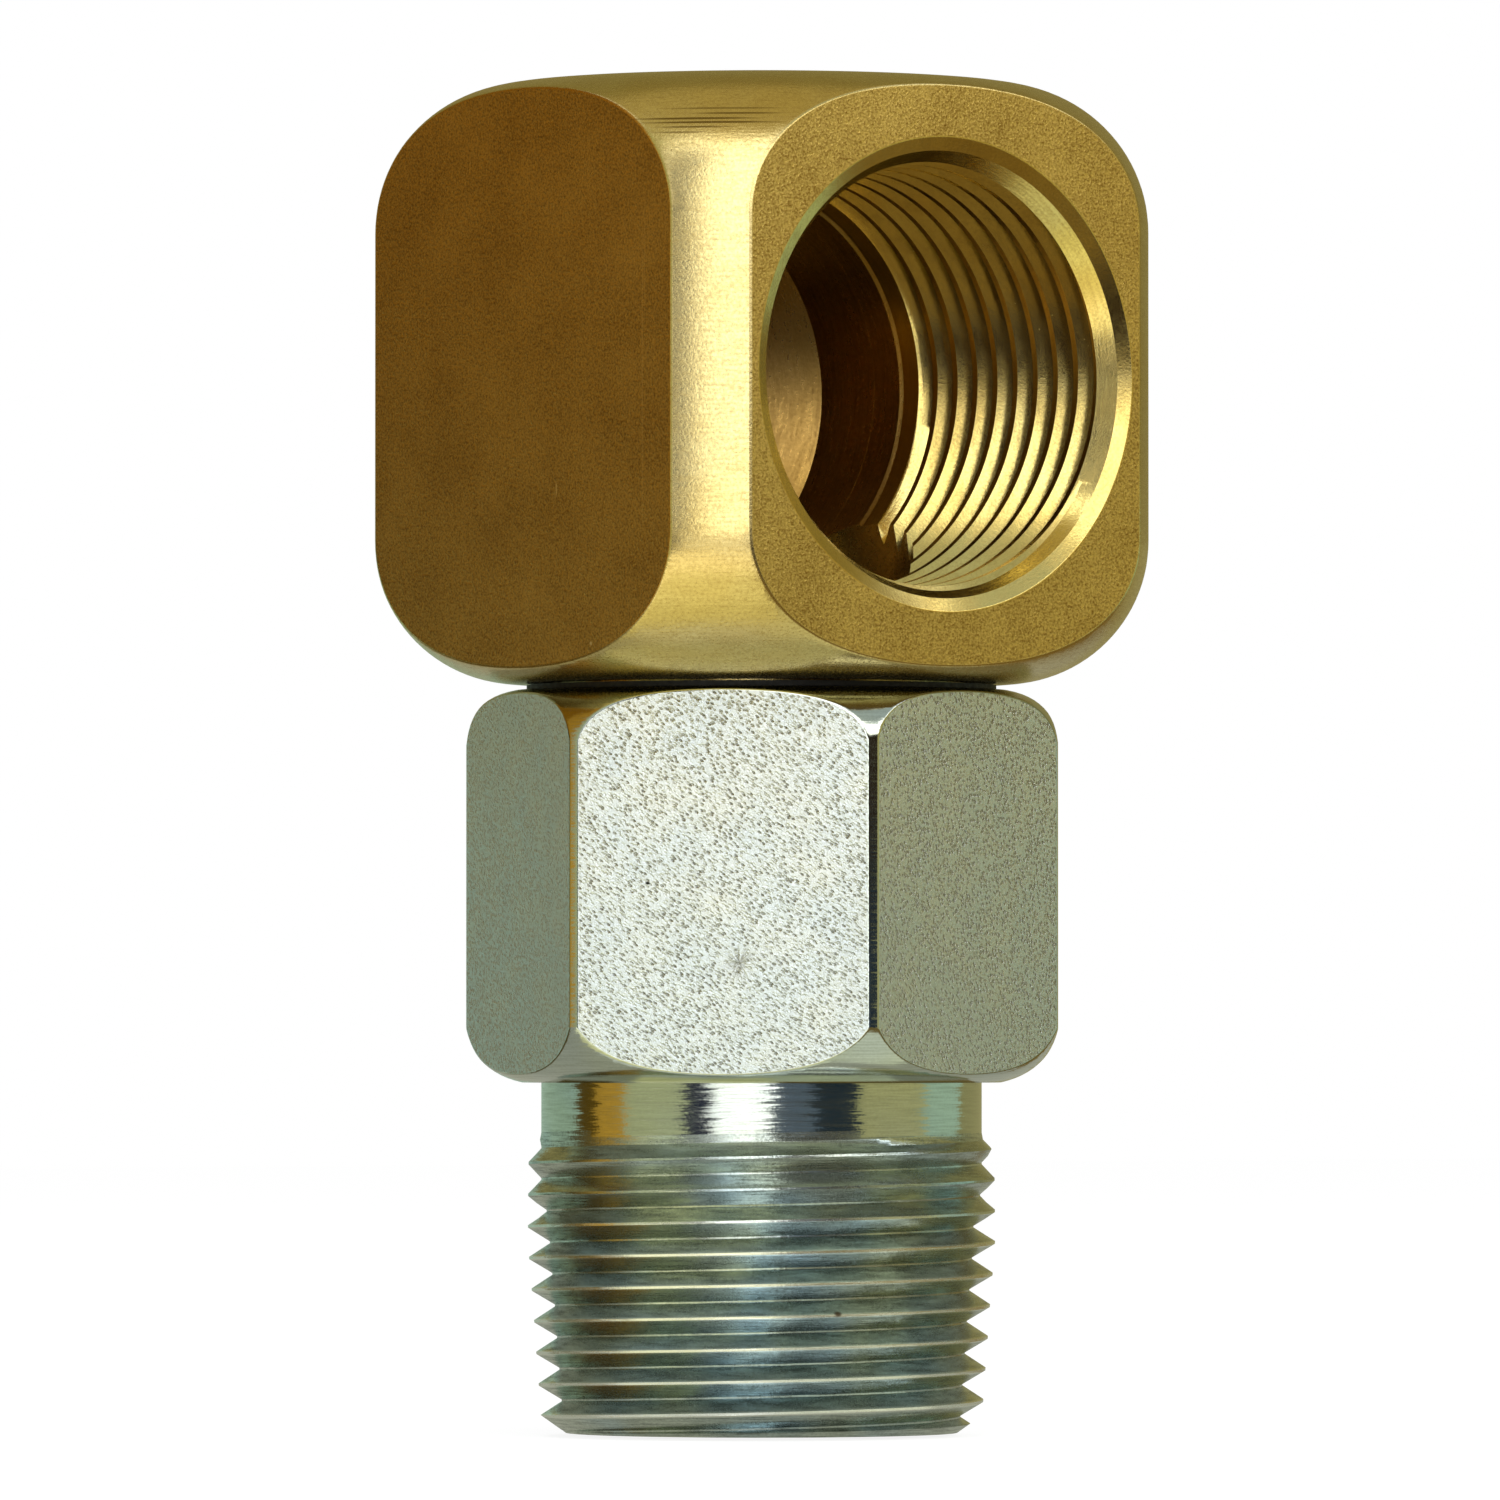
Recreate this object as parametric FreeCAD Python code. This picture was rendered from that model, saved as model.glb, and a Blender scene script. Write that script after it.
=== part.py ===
import FreeCAD, Part
import math
import os

# Swivel gas connector: a brass elbow head turning on a zinc-plated steel stem.
# Millimetres. Z runs up the swivel axis from the stem's end face, X points out of the port.

# Male pipe end of the stem
nipple_length = 20.1
thread_length = 16.8
thread_taper_length = 11.0
thread_crest_radius = 13.44
thread_end_crest_radius = 12.62
thread_pitch = 1.8143
thread_depth = 1.3
thread_flank_deg = 30.0
thread_root_width = 0.1
thread_first_root_height = 0.68
thread_run_in = 0.5
thread_chamfer_height = 1.2
thread_chamfer_depth = 1.7
shank_radius = 12.65
passage_radius = 8.75
passage_chamfer = 0.5

# Hexagon of the stem, which is also the housing of the swivel
hex_across_flats = 30.0
hex_height = 22.5
hex_corner_radius = 17.17
hex_turn_deg = 14.0
hex_top_face_radius = 14.2
hex_top_round_height = 3.1
hex_top_round_bulge = 0.78
hex_bottom_face_radius = 13.75
hex_bottom_round_height = 3.1
hex_bottom_round_bulge = 0.67

# Brass head
head_gap = 0.4
head_across_flats = 34.5
head_corner_radius = 22.25
head_height = 34.4
head_top_shoulder = 8.5
head_bottom_shoulder = 8.2

# Female port of the head
port_radius = 11.85
port_depth = 19.0
port_mouth_radius = 13.4
port_mouth_depth = 1.5
port_drill_radius = 11.5
port_drill_depth = 26.4
port_drill_point_deg = 135.0

# Spigot under the head and the bore that it turns in
spigot_drill_point_deg = 118.0
spigot_radius = 12.0
spigot_clearance = 0.05
spigot_chamfer = 0.5
housing_floor = 2.2
thrust_washer_thickness = 0.8
thrust_washer_gap = 0.1

# Ball race
ball_radius = 1.75
ball_count = 21
ball_clearance = 0.03
race_height = 27.0
race_groove_relief = 0.12
plug_radius = 1.8
plug_turn_deg = -46.0

# Seals in the spigot and the dust ring in the mouth of the housing
seal_groove_depth = 1.55
seal_groove_width = 3.5
seal_pitch = 5.0
lower_seal_above_race = 5.4
seal_side_gap = 0.1
backup_ring_width = 1.0
seal_lip_clearance = 0.02
o_ring_corner = 0.4
dust_ring_radius = 13.5
dust_ring_width = 1.4
dust_ring_gap = 0.1

# Heights that follow from the sizes above
hex_bottom = nipple_length
hex_top = hex_bottom + hex_height
head_bottom = hex_top + head_gap
head_top = head_bottom + head_height
port_height = head_bottom + head_height / 2
floor_height = hex_bottom + housing_floor
spigot_end = floor_height + thrust_washer_thickness + thrust_washer_gap
housing_radius = spigot_radius + spigot_clearance
race_pitch_radius = spigot_radius + spigot_clearance / 2

axis_point = FreeCAD.Vector(0, 0, 0)
axis_up = FreeCAD.Vector(0, 0, 1)


def section_point(radius, height):
    return FreeCAD.Vector(radius, 0, height)


def straight(start, end):
    return Part.makeLine(section_point(*start), section_point(*end))


def bulged(start, end, bulge):
    # an arc that stands out from its chord by the bulge, outwards where it runs upwards
    run = end[0] - start[0]
    rise = end[1] - start[1]
    chord = math.hypot(run, rise)
    middle = (
        (start[0] + end[0]) / 2 + bulge * rise / chord,
        (start[1] + end[1]) / 2 - bulge * run / chord,
    )
    return Part.Arc(section_point(*start), section_point(*middle), section_point(*end)).toShape()


def quarter(start, end, centre, radius):
    # a rounded corner between two faces that its ends touch squarely
    step = math.sqrt(0.5) * radius
    out = 1 if start[0] + end[0] > 2 * centre[0] else -1
    up = 1 if start[1] + end[1] > 2 * centre[1] else -1
    middle = (centre[0] + out * step, centre[1] + up * step)
    return Part.Arc(section_point(*start), section_point(*middle), section_point(*end)).toShape()


def turned(edges):
    face = Part.Face(Part.Wire(edges))
    return face.revolve(axis_point, axis_up, 360)


def turned_polygon(corners):
    closed = corners + corners[:1]
    edges = [straight(a, b) for a, b in zip(closed, closed[1:])]
    return turned(edges)


def tube(inner, outer, low, high):
    return turned_polygon([(inner, low), (outer, low), (outer, high), (inner, high)])


def rod(radius, low, high):
    return Part.makeCylinder(radius, high - low, FreeCAD.Vector(0, 0, low), axis_up)


def race_ring():
    # four-point groove: flanks at 45 degrees to the ball, with a flat relief behind it
    reach = ball_radius + ball_clearance
    apex = reach * math.sqrt(2)
    relief = reach + race_groove_relief
    land = apex - relief
    inside = race_pitch_radius - relief
    outside = race_pitch_radius + relief
    return turned_polygon(
        [
            (inside, race_height - land),
            (race_pitch_radius, race_height - apex),
            (outside, race_height - land),
            (outside, race_height + land),
            (race_pitch_radius, race_height + apex),
            (inside, race_height + land),
        ]
    )


def hex_section():
    # hexagonal bar, with its corners turned and both ends turned round
    low = hex_bottom
    high = hex_top
    foot = (hex_bottom_face_radius, low)
    heel = (hex_corner_radius, low + hex_bottom_round_height)
    brow = (hex_corner_radius, high - hex_top_round_height)
    crown = (hex_top_face_radius, high)
    blank = turned(
        [
            straight((0, low), foot),
            bulged(foot, heel, hex_bottom_round_bulge),
            straight(heel, brow),
            bulged(brow, crown, hex_top_round_bulge),
            straight(crown, (0, high)),
            straight((0, high), (0, low)),
        ]
    )
    corner = hex_across_flats / math.sqrt(3)
    corners = []
    for side in range(6):
        angle = math.radians(hex_turn_deg + 30 + 60 * side)
        corners.append(FreeCAD.Vector(corner * math.cos(angle), corner * math.sin(angle), low))
    outline = Part.makePolygon(corners + corners[:1])
    bar = Part.Face(outline).extrude(FreeCAD.Vector(0, 0, hex_height))
    return blank.common(bar)


def nipple_blank():
    # crests of the pipe thread, tapered over the length that screws in, and the relieved shank above
    crest_rise = (thread_crest_radius - thread_end_crest_radius) / thread_taper_length
    chamfer_radius = thread_end_crest_radius + crest_rise * thread_chamfer_height
    return turned_polygon(
        [
            (0, 0),
            (chamfer_radius - thread_chamfer_depth, 0),
            (chamfer_radius, thread_chamfer_height),
            (thread_crest_radius, thread_taper_length),
            (thread_crest_radius, thread_length),
            (shank_radius, thread_length + thread_run_in),
            (shank_radius, hex_bottom),
            (0, hex_bottom),
        ]
    )


def thread_groove():
    # one groove on a tapering helix, from under the end face until its floor rises to the shank
    end_root = thread_end_crest_radius - thread_depth
    root_rise = (shank_radius - end_root) / thread_length
    low = thread_first_root_height - 2 * thread_pitch
    turns = math.ceil(thread_length / thread_pitch) + 2
    root = end_root + root_rise * low
    half = thread_root_width / 2
    wide = 0.49 * thread_pitch
    outer = root + (wide - half) / math.tan(math.radians(thread_flank_deg))
    corners = [(root, low - half), (outer, low - wide), (outer, low + wide), (root, low + half)]
    outline = Part.makePolygon([section_point(*corner) for corner in corners + corners[:1]])
    taper_deg = math.degrees(math.atan(root_rise))
    helix = Part.makeLongHelix(thread_pitch, turns * thread_pitch, root, taper_deg)
    helix.translate(FreeCAD.Vector(0, 0, low))
    return Part.Wire(helix.Edges).makePipeShell([outline], True, True)


def threaded_stem():
    mouth = passage_radius + passage_chamfer
    nipple = nipple_blank().cut(thread_groove())
    stem = nipple.fuse(hex_section())
    stem = stem.cut(rod(passage_radius, -1, hex_top))
    stem = stem.cut(turned_polygon([(0, 0), (mouth, 0), (0, mouth)]))
    stem = stem.cut(rod(housing_radius, floor_height, hex_top))
    stem = stem.cut(rod(dust_ring_radius, hex_top - dust_ring_width, hex_top))
    stem = stem.cut(race_ring())
    stem = stem.cut(plug_rod(plug_radius))
    return stem.removeSplitter()


def plug_rod(radius):
    # radial hole through one flat of the hexagon, where the balls go in
    angle = math.radians(plug_turn_deg)
    out = FreeCAD.Vector(math.cos(angle), math.sin(angle), 0)
    start = out * spigot_radius + FreeCAD.Vector(0, 0, race_height)
    return Part.makeCylinder(radius, hex_across_flats / 2 - spigot_radius, start, out)


def ball_plug():
    plug = plug_rod(plug_radius)
    plug = plug.cut(rod(housing_radius, floor_height, hex_top))
    return plug.cut(race_ring())


def head_blank():
    # square bar with its corners turned to a cylinder and both ends turned with large radii
    top_start = head_top - head_top_shoulder
    bottom_end = head_bottom + head_bottom_shoulder
    top_face = head_corner_radius - head_top_shoulder
    bottom_face = head_corner_radius - head_bottom_shoulder
    foot = (bottom_face, head_bottom)
    heel = (head_corner_radius, bottom_end)
    brow = (head_corner_radius, top_start)
    crown = (top_face, head_top)
    blank = turned(
        [
            straight((0, head_bottom), foot),
            quarter(foot, heel, (bottom_face, bottom_end), head_bottom_shoulder),
            straight(heel, brow),
            quarter(brow, crown, (top_face, top_start), head_top_shoulder),
            straight(crown, (0, head_top)),
            straight((0, head_top), (0, head_bottom)),
        ]
    )
    half = head_across_flats / 2
    bar = Part.makeBox(
        head_across_flats,
        head_across_flats,
        head_height,
        FreeCAD.Vector(-half, -half, head_bottom),
    )
    return blank.common(bar)


def port_cut():
    # the drilled hole reaches past the passage, and its outer part is opened up for the thread
    slope = 1 / math.tan(math.radians(port_drill_point_deg / 2))
    step_depth = port_depth + port_radius - port_drill_radius
    point_depth = port_drill_depth + port_drill_radius * slope
    cutter = turned_polygon(
        [
            (0, 0),
            (port_mouth_radius, 0),
            (port_radius, -port_mouth_depth),
            (port_radius, -port_depth),
            (port_drill_radius, -step_depth),
            (port_drill_radius, -port_drill_depth),
            (0, -point_depth),
        ]
    )
    cutter.rotate(axis_point, FreeCAD.Vector(0, 1, 0), 90)
    cutter.translate(FreeCAD.Vector(head_across_flats / 2, 0, port_height))
    return cutter


def passage_cut():
    # the drill comes up through the spigot until its point lies inside the port
    slope = 1 / math.tan(math.radians(spigot_drill_point_deg / 2))
    return turned_polygon(
        [
            (0, spigot_end),
            (passage_radius, spigot_end),
            (passage_radius, port_height),
            (0, port_height + passage_radius * slope),
        ]
    )


def spigot():
    return turned_polygon(
        [
            (0, spigot_end),
            (spigot_radius - spigot_chamfer, spigot_end),
            (spigot_radius, spigot_end + spigot_chamfer),
            (spigot_radius, head_bottom),
            (0, head_bottom),
        ]
    )


def seal_height(index):
    # lower edge of each seal groove
    return race_height + lower_seal_above_race + index * seal_pitch - seal_groove_width / 2


def swivel_body():
    body = head_blank().fuse(spigot())
    body = body.cut(port_cut())
    body = body.cut(passage_cut())
    body = body.cut(race_ring())
    groove_floor = spigot_radius - seal_groove_depth
    for index in range(2):
        low = seal_height(index)
        body = body.cut(tube(groove_floor, housing_radius, low, low + seal_groove_width))
    return body.removeSplitter()


def o_ring(index):
    # shown squeezed between the groove floor and the housing
    low = seal_height(index) + seal_side_gap
    high = seal_height(index) + seal_groove_width - backup_ring_width - seal_side_gap
    inner = spigot_radius - seal_groove_depth
    outer = housing_radius - seal_lip_clearance
    corner = o_ring_corner
    return turned_polygon(
        [
            (inner, low + corner),
            (inner + corner, low),
            (outer - corner, low),
            (outer, low + corner),
            (outer, high - corner),
            (outer - corner, high),
            (inner + corner, high),
            (inner, high - corner),
        ]
    )


def backup_ring(index):
    high = seal_height(index) + seal_groove_width
    inner = spigot_radius - seal_groove_depth
    outer = housing_radius - seal_lip_clearance
    return tube(inner, outer, high - backup_ring_width, high)


def thrust_washer():
    low = floor_height
    return tube(passage_radius, spigot_radius, low, low + thrust_washer_thickness)


def dust_ring():
    low = hex_top - dust_ring_width
    inner = spigot_radius + spigot_clearance
    return tube(inner, dust_ring_radius, low, hex_top + head_gap - dust_ring_gap)


def ball(index):
    around = math.radians(360 * index / ball_count)
    centre = FreeCAD.Vector(
        race_pitch_radius * math.cos(around),
        race_pitch_radius * math.sin(around),
        race_height,
    )
    return Part.makeSphere(ball_radius, centre)


def save(shape, name):
    if len(shape.Solids) == 1:
        shape = shape.Solids[0]
    shape.exportStep("parts/" + name + ".step")


os.makedirs("parts", exist_ok=True)
save(threaded_stem(), "threaded_stem")
save(swivel_body(), "swivel_body")
save(ball_plug(), "ball_plug")
save(thrust_washer(), "thrust_washer")
save(dust_ring(), "dust_ring")
for seal_index, seal_name in enumerate(("lower", "upper")):
    save(o_ring(seal_index), "o_ring_" + seal_name)
    save(backup_ring(seal_index), "backup_ring_" + seal_name)
for ball_index in range(ball_count):
    save(ball(ball_index), "ball_%02d" % (ball_index + 1))
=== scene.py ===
import math

import bpy
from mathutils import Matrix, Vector


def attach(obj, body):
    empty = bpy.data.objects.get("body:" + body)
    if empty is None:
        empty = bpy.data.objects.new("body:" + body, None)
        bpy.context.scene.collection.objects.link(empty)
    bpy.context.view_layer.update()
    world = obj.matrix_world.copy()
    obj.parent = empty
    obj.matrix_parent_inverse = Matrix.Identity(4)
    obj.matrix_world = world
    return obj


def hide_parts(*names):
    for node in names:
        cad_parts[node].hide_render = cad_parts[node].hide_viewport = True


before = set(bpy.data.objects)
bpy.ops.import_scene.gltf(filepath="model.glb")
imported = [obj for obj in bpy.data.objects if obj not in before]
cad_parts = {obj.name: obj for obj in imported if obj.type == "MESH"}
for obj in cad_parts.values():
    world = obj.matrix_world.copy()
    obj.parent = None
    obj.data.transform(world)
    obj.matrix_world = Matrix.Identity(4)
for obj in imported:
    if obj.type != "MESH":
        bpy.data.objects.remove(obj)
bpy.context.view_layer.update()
print("frame loaded")

mm = 0.001

# sizes of the brass head, in millimetres
head = {
    "acrossFlats": 34.5,
    "cornerRadius": 22.25,
    "bottom": 43.0,
    "height": 34.4,
    "topShoulder": 8.5,
    "bottomShoulder": 8.2,
    "edgeBreak": 0.12,
    "turnSteps": 192,
    "arcSteps": 26,
    "smoothAngle": 27.0,
}

# the tapped port in the side of the head; depths count from the flat that it opens in
port = {
    "mouth": [(13.5, 0.0), (13.4, 0.05), (12.68, 0.4), (11.97, 1.4)],
    "crestRadius": 11.97,
    "taper": 1 / 64,
    "depth": 18.9,
    "drillRadius": 11.5,
    "drillDepth": 26.4,
    "drillPoint": 135.0,
    "stepSlope": 1.2,
    "pitch": 1.8143,
    "toothDepth": 1.0,
    "rootClear": 0.15,
    "crestWidth": 0.24,
    "rootWidth": 0.246,
    "crestAt": 16.2,
    "crestTurn": -10.0,
    "threadStart": (0.7, 1.5),
    "threadEnd": (16.6, 18.2),
    "turnSteps": 192,
}

# hollow spigot under the head, with its ball race and seal grooves
spigot = {
    "radius": 12.0,
    "end": 23.2,
    "chamfer": 0.5,
    "intoHead": 0.5,
    "passageRadius": 8.75,
    "passagePoint": 118.0,
    "passageSteps": 144,
    "raceHeight": 27.0,
    "raceReach": 1.78,
    "raceRelief": 0.12,
    "racePitchRadius": 12.025,
    "sealLow": [30.65, 35.65],
    "sealWidth": 3.5,
    "sealDepth": 1.55,
}

# zinc-plated hexagon, which houses the swivel
hexagon = {
    "acrossFlats": 30.0,
    "cornerRadius": 17.17,
    "bottom": 20.1,
    "top": 42.6,
    "turn": 14.0,
    "topFaceRadius": 14.2,
    "topRound": 3.1,
    "topBulge": 0.78,
    "bottomFaceRadius": 13.75,
    "bottomRound": 3.1,
    "bottomBulge": 0.67,
    "edgeBreak": 0.09,
    "boreRadius": 12.05,
    "floor": 22.3,
    "mouthRadius": 13.5,
    "mouthDepth": 1.4,
    "turnSteps": 192,
    "arcSteps": 12,
    "smoothAngle": 25.0,
}

# male pipe thread and the relieved shank above it
nipple = {
    "crestRadii": [(0, 12.62), (2.8, 12.8), (5, 12.97), (7, 13.1), (9, 13.27), (11, 13.42), (14, 13.4),
                   (17, 13.36)],
    "pitch": 1.8143,
    "toothDepth": 1.26,
    "crestWidth": 0.14,
    "rootWidth": 0.1,
    "crestAt": 1.85,
    "crestTurn": 52.4,
    "shankRadius": 12.65,
    "rootRise": (11.5, 14.4),
    "crestFall": (15.9, 17.2),
    "endRadius": 12.95,
    "chamferHeight": 1.2,
    "chamferDepth": 1.7,
    "passageChamfer": 0.5,
    "turnSteps": 160,
}

# closing pin of the hole through which the balls go in
plug = {
    "radius": 1.78,
    "turn": -46.0,
    "height": 27.0,
    "inner": 14.0,
    "outer": 14.7,
    "holeInner": 11.5,
    "clearance": 0.02,
    "smoothAngle": 35.0,
}

# the axis of the port is halfway up the head
portHeight = head["bottom"] + head["height"] / 2

# a point this near to a flat counts as lying on it, in millimetres
flatGap = 0.01

# camera level with the hexagon, far away, as the photograph was taken
camera = {
    "azimuth": 52.4,
    "distance": 850.0,
    "height": 22.5,
    "aimHeight": 39.2,
    "aimRight": -0.66,
    "lens": 355.0,
    "sensor": 36.0,
}

# studio round the part: azimuths count from the camera to its right, the edge that a card is swept from is
# radius and height in metres, and a level of 1 is as bright as white
studio = {
    "room": 0.5,
    "middle": 0.04,
    "cardSteps": 36,
    "floorSize": 3.0,
    "floorColour": "8c8c8c",
    "floorGlow": 0.86,
    "boxes": {
        "frontBox": {"azimuth": -9.7, "elevation": 31, "distance": 0.9, "width": 0.51, "height": 1.25,
                     "level": 1.75, "colour": "f6fafe"},
        "sideBox": {"azimuth": 52, "elevation": 27, "distance": 0.9, "width": 1.2, "height": 0.62,
                    "level": 1.5, "colour": "fffdf6"},
    },
    "cards": {
        "ceilingCard": {"from": -180, "to": 180, "edge": [(0.001, 0.42), (0.2, 0.42)], "colour": "bcb07c"},
        "tableCard": {"from": -180, "to": 180, "edge": [(0.001, 0.0), (0.2, 0.0)], "colour": "a9aa9a"},
        # the floor cards in front glow darker and yellower near the part and brighter than white further out:
        # painted shade and a painted reflection of the brass in the floor near it, and a painted highlight where
        # the front softbox's glow spreads low
        "frontFoot": {"from": -66, "to": 6, "edge": [(0.017, 0.0003), (0.03, 0.0003)], "colour": "dce0d8"},
        "frontNear": {"from": -66, "to": 6, "edge": [(0.03, 0.0003), (0.05, 0.0003)], "colour": "e8e4b0",
                      "level": 1.1},
        "frontMiddle": {"from": -66, "to": 6, "edge": [(0.05, 0.0003), (0.1, 0.0003)], "colour": "f6f4c8",
                        "level": 1.25},
        "frontFar": {"from": -66, "to": 6, "edge": [(0.1, 0.0003), (0.2, 0.0003)], "colour": "fffbe6",
                     "level": 1.7},
        "sideNear": {"from": 6, "to": 70, "edge": [(0.017, 0.0003), (0.05, 0.0003)], "colour": "e2e6cc"},
        "sideTable": {"from": 6, "to": 150, "edge": [(0.05, 0.0003), (0.2, 0.0003)], "colour": "806c3e"},
        "brownTable": {"from": -130, "to": -80, "edge": [(0.05, 0.0003), (0.2, 0.0003)], "colour": "5a4a20"},
        "backCard": {"from": -182, "to": -110, "edge": [(0.2, 0.0), (0.2, 0.056)], "colour": "a2baa6"},
        "backTop": {"from": -182, "to": -122, "edge": [(0.2, 0.056), (0.2, 0.42)], "colour": "8f8654"},
        "brownCard": {"from": -110, "to": -94, "edge": [(0.19, 0.0), (0.19, 0.045)], "colour": "5e4816"},
        "brownTop": {"from": -122, "to": -92, "edge": [(0.19, 0.045), (0.19, 0.067)], "colour": "302206"},
        "brownHigh": {"from": -122, "to": -92, "edge": [(0.19, 0.067), (0.19, 0.3)], "colour": "845810"},
        "amberCard": {"from": -94, "to": -74, "edge": [(0.19, 0.0), (0.19, 0.045)], "colour": "c89a3c"},
        "amberTop": {"from": -92, "to": -74, "edge": [(0.19, 0.045), (0.19, 0.3)], "colour": "b4842a"},
        "leftCard": {"from": -74, "to": -40, "edge": [(0.2, 0.0), (0.2, 0.42)], "colour": "bcc096"},
        "navyCard": {"from": -40, "to": -26, "edge": [(0.19, 0.0), (0.19, 0.045)], "colour": "18203a"},
        "navyTop": {"from": -29, "to": -18.5, "edge": [(0.19, 0.045), (0.19, 0.3)], "colour": "1e1e1c"},
        "gapCard": {"from": 6, "to": 28, "edge": [(0.2, 0.0), (0.2, 0.045)], "colour": "5c6a7c"},
        "darkCard": {"from": 26, "to": 50, "edge": [(0.19, 0.0), (0.19, 0.045)], "colour": "22303c"},
        "shadeFront": {"from": 4, "to": 27, "edge": [(0.12, 0.027), (0.12, 0.0625)], "colour": "281a0a"},
        "shadeSide": {"from": 27, "to": 54, "edge": [(0.12, 0.034), (0.12, 0.0635)], "colour": "281a0a"},
        "crownCard": {"from": 34, "to": 84, "edge": [(0.2, 0.18), (0.2, 0.42)], "colour": "b8c2bc"},
        "rightCard": {"from": 50, "to": 60, "edge": [(0.2, 0.0), (0.2, 0.09)], "colour": "bcb884"},
        "wideCard": {"from": 58, "to": 94, "edge": [(0.21, 0.0), (0.21, 0.045)], "colour": "bcb884"},
        "wideTop": {"from": 58, "to": 100, "edge": [(0.21, 0.045), (0.21, 0.15)], "colour": "bcac62"},
        "farCard": {"from": 92, "to": 124, "edge": [(0.2, 0.0), (0.2, 0.056)], "colour": "b0cab6"},
        "farSide": {"from": 124, "to": 178, "edge": [(0.2, 0.0), (0.2, 0.056)], "colour": "a09a6c"},
        "farTop": {"from": 100, "to": 178, "edge": [(0.2, 0.056), (0.2, 0.42)], "colour": "8f8654"},
    },
}


def linearColour(hexText):
    # sRGB hex to the linear values that the shader takes
    values = []
    for start in (0, 2, 4):
        level = int(hexText[start:start + 2], 16) / 255
        values.append(level / 12.92 if level <= 0.04045 else ((level + 0.055) / 1.055) ** 2.4)
    return (*values, 1.0)


def deselectAll():
    if bpy.context.object and bpy.context.object.mode != "OBJECT":
        bpy.ops.object.mode_set(mode="OBJECT")
    bpy.ops.object.select_all(action="DESELECT")


def makeActive(piece):
    deselectAll()
    piece.select_set(True)
    bpy.context.view_layer.objects.active = piece


def finishModifier(piece, kind, **settings):
    makeActive(piece)
    bpy.ops.object.modifier_add(type=kind)
    modifier = piece.modifiers[-1]
    for name, value in settings.items():
        setattr(modifier, name, value)
    bpy.ops.object.modifier_apply(modifier=modifier.name)


def cutWith(piece, other, operation):
    finishModifier(piece, "BOOLEAN", object=other, operation=operation, solver="EXACT")
    bpy.data.objects.remove(other)


def drawProfile(name, points):
    # one vertex, drawn out along the half section; points are radius and height in millimetres
    deselectAll()
    bpy.ops.mesh.primitive_plane_add(size=mm, location=(points[0][0] * mm, 0, points[0][1] * mm))
    piece = bpy.context.object
    piece.name = name
    bpy.ops.object.transform_apply(location=True, rotation=True, scale=True)
    bpy.ops.object.mode_set(mode="EDIT")
    bpy.ops.mesh.select_mode(type="VERT")
    bpy.ops.mesh.select_all(action="SELECT")
    bpy.ops.mesh.merge(type="CENTER")
    for before, after in zip(points, points[1:]):
        step = ((after[0] - before[0]) * mm, 0, (after[1] - before[1]) * mm)
        bpy.ops.mesh.extrude_region_move(TRANSFORM_OT_translate={"value": step})
    return piece


def turnPiece(name, points, steps):
    # the half section is spun about Z like a piece on a lathe
    piece = drawProfile(name, points)
    bpy.ops.mesh.select_all(action="SELECT")
    bpy.ops.mesh.spin(steps=steps, angle=math.tau, center=(0, 0, 0), axis=(0, 0, 1))
    bpy.ops.mesh.select_all(action="SELECT")
    bpy.ops.mesh.remove_doubles(threshold=0.002 * mm)
    bpy.ops.mesh.normals_make_consistent(inside=False)
    bpy.ops.object.mode_set(mode="OBJECT")
    return piece


def arcPoints(centre, radius, start, end, steps):
    points = []
    for index in range(steps + 1):
        angle = math.radians(start + (end - start) * index / steps)
        points.append((centre[0] + radius * math.cos(angle), centre[1] + radius * math.sin(angle)))
    return points


def bulgedPoints(start, end, bulge, steps):
    # shallow arc that stands out from its chord, drawn as a parabola
    run = end[0] - start[0]
    rise = end[1] - start[1]
    chord = math.hypot(run, rise)
    points = []
    for index in range(steps + 1):
        part = index / steps
        out = 4 * bulge * part * (1 - part)
        points.append((start[0] + run * part + out * rise / chord, start[1] + rise * part - out * run / chord))
    return points


def smoothStep(value, low, high):
    part = min(max((value - low) / (high - low), 0), 1)
    return part * part * (3 - 2 * part)


def threadRod(name, settings, low, high, radiusAt):
    # one pitch of the tooth is drawn at any radius, screwed up the axis, and set to its own at each height
    drawn = 10
    pitch = settings["pitch"]
    crest = settings["crestWidth"]
    root = settings["rootWidth"]
    flank = (pitch - crest - root) / 2
    marks = [(0, 0), (root / 2, 0), (root / 2 + flank / 2, 0.5), (root / 2 + flank, 1),
             (root / 2 + flank + crest, 1), (pitch - root / 2 - flank / 2, 0.5), (pitch - root / 2, 0), (pitch, 0)]
    firstCrest = settings["crestAt"] - pitch * settings["crestTurn"] / 360
    start = firstCrest - pitch / 2
    start -= pitch * math.ceil((start - low) / pitch + 1)
    turns = math.ceil((high - start) / pitch) + 1
    rod = drawProfile(name, [(drawn + out, start + rise) for rise, out in marks])
    bpy.ops.object.mode_set(mode="OBJECT")
    finishModifier(rod, "SCREW", axis="Z", angle=math.tau, screw_offset=pitch * mm, iterations=turns,
                   steps=settings["turnSteps"], render_steps=settings["turnSteps"], use_smooth_shade=False)
    makeActive(rod)
    bpy.ops.object.mode_set(mode="EDIT")
    bpy.ops.mesh.select_all(action="SELECT")
    bpy.ops.mesh.remove_doubles(threshold=0.001 * mm)
    bpy.ops.object.mode_set(mode="OBJECT")
    for vertex in rod.data.vertices:
        radius = math.hypot(vertex.co.x, vertex.co.y) / mm
        target = radiusAt(vertex.co.z / mm, min(max(radius - drawn, 0), 1))
        vertex.co.x *= target / radius
        vertex.co.y *= target / radius
    closeEnds(rod, (low + high) / 2)
    return rod


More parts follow.
